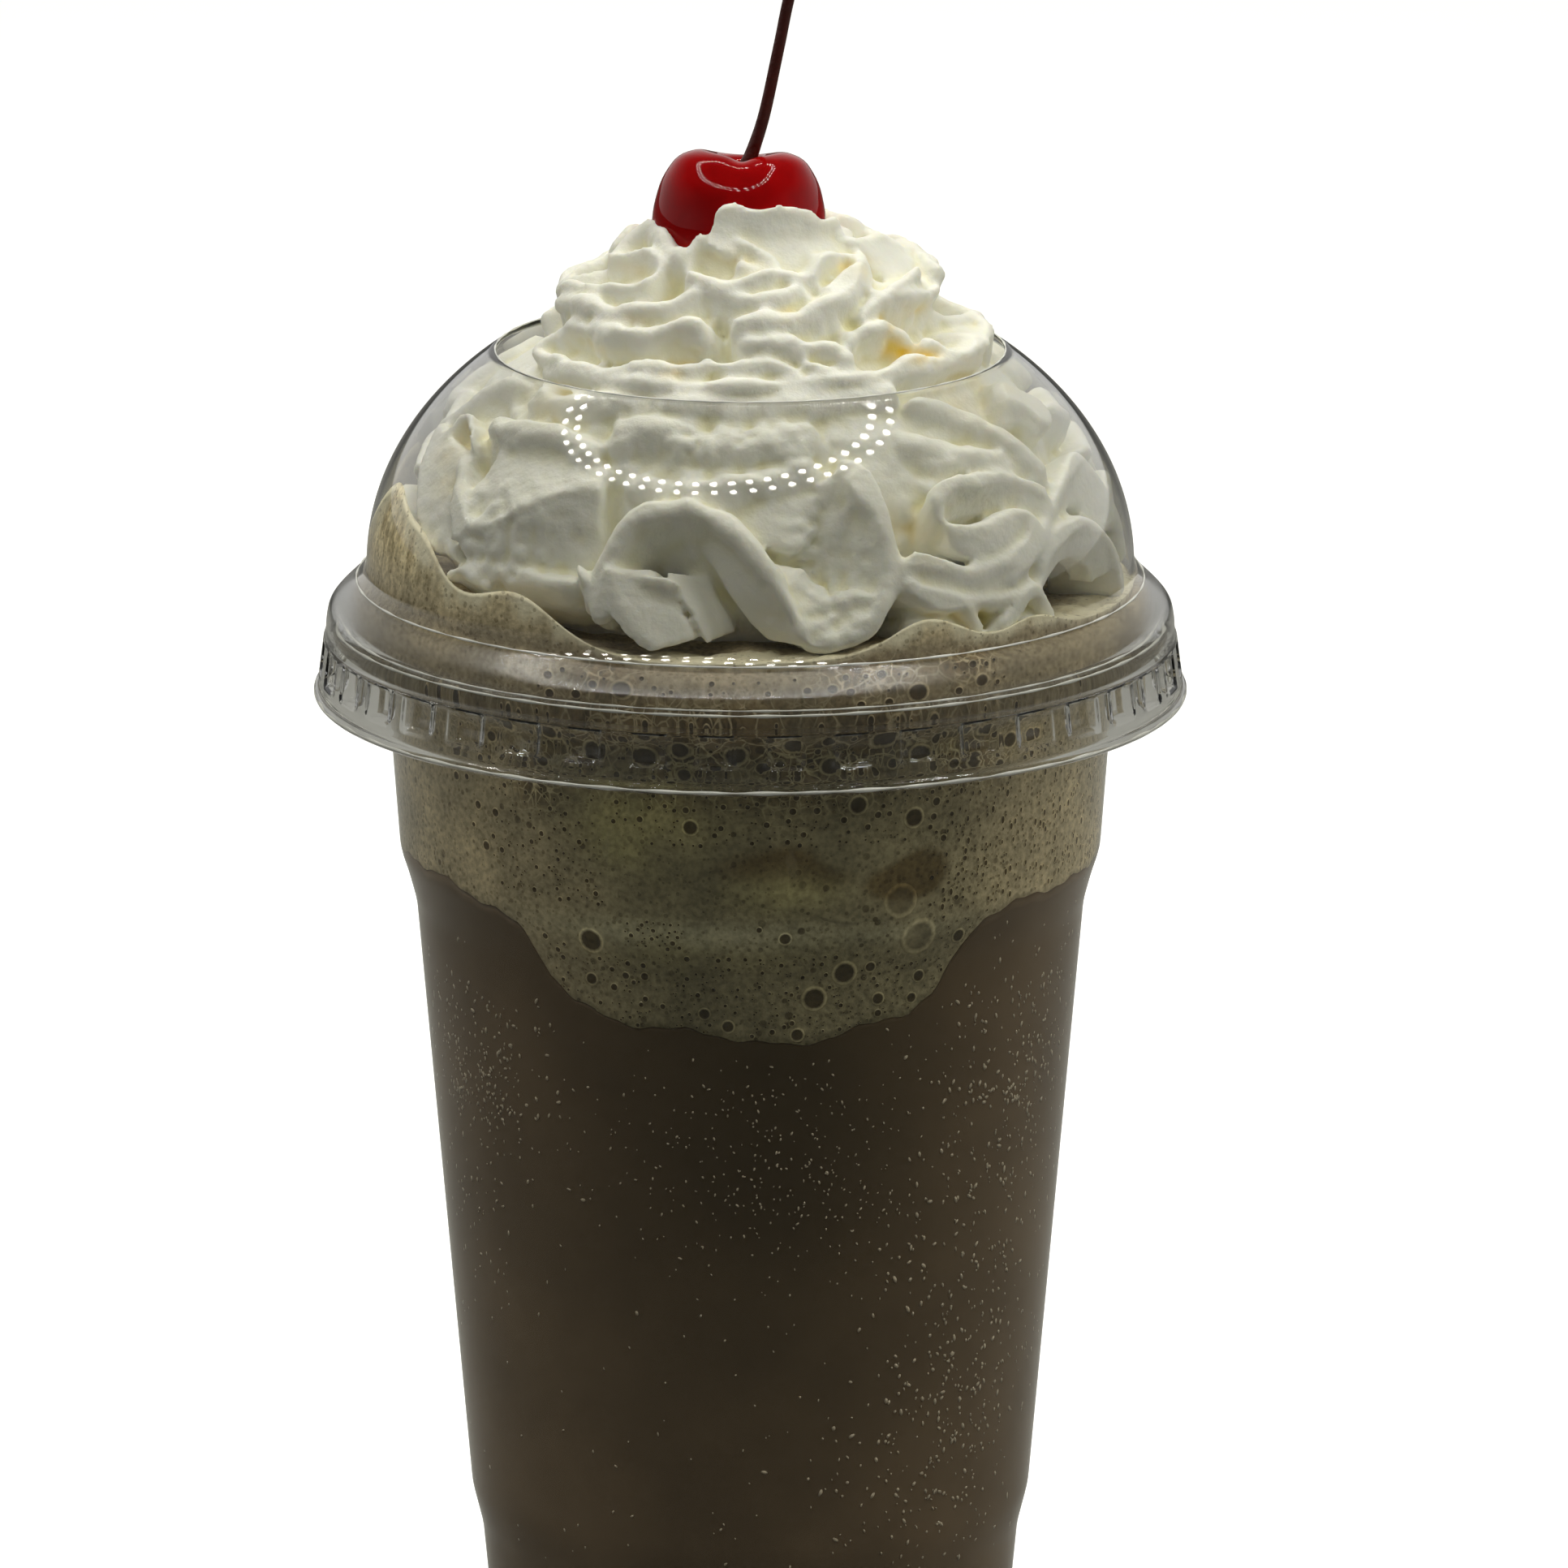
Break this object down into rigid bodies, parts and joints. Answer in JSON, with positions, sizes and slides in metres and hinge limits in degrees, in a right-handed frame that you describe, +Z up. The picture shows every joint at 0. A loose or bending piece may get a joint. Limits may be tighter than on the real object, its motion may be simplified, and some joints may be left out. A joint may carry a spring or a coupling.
{
  "type": "ice cream float",
  "caption": "Ice cream float in a clear plastic cup with a domed lid: dark soda, foam, vanilla ice cream, piped whipped cream that rises through the lid's hole, and a cherry with its stem.",
  "frame": {"origin": "centre of the cup's foot, on the surface that it stands on", "axes": "+Z up along the cup's axis; -Y is the side that the picture shows; +X is the picture's right"},
  "size_m": [0.104, 0.104, 0.2319],
  "materials": {
    "cup_plastic": "clear thin plastic sheet",
    "lid_plastic": "clear thin plastic sheet",
    "drink": "dark brown soda seen through the cup",
    "foam": "bubbly tan foam",
    "ice_cream": "soft vanilla ice cream",
    "whipped_cream": "soft satin whipped cream",
    "cherry": "wet, glossy syrup",
    "cherry_stem": "smooth, slightly glossy"
  },
  "bodies": {
    "root": {"cup": "cup_plastic", "dome_lid": "lid_plastic", "drink": "drink", "foam_head": "foam", "ice_cream_scoop": "ice_cream", "whipped_cream": "whipped_cream", "cherry": "cherry", "cherry_stem": "cherry_stem"}
  },
  "joints": []
}
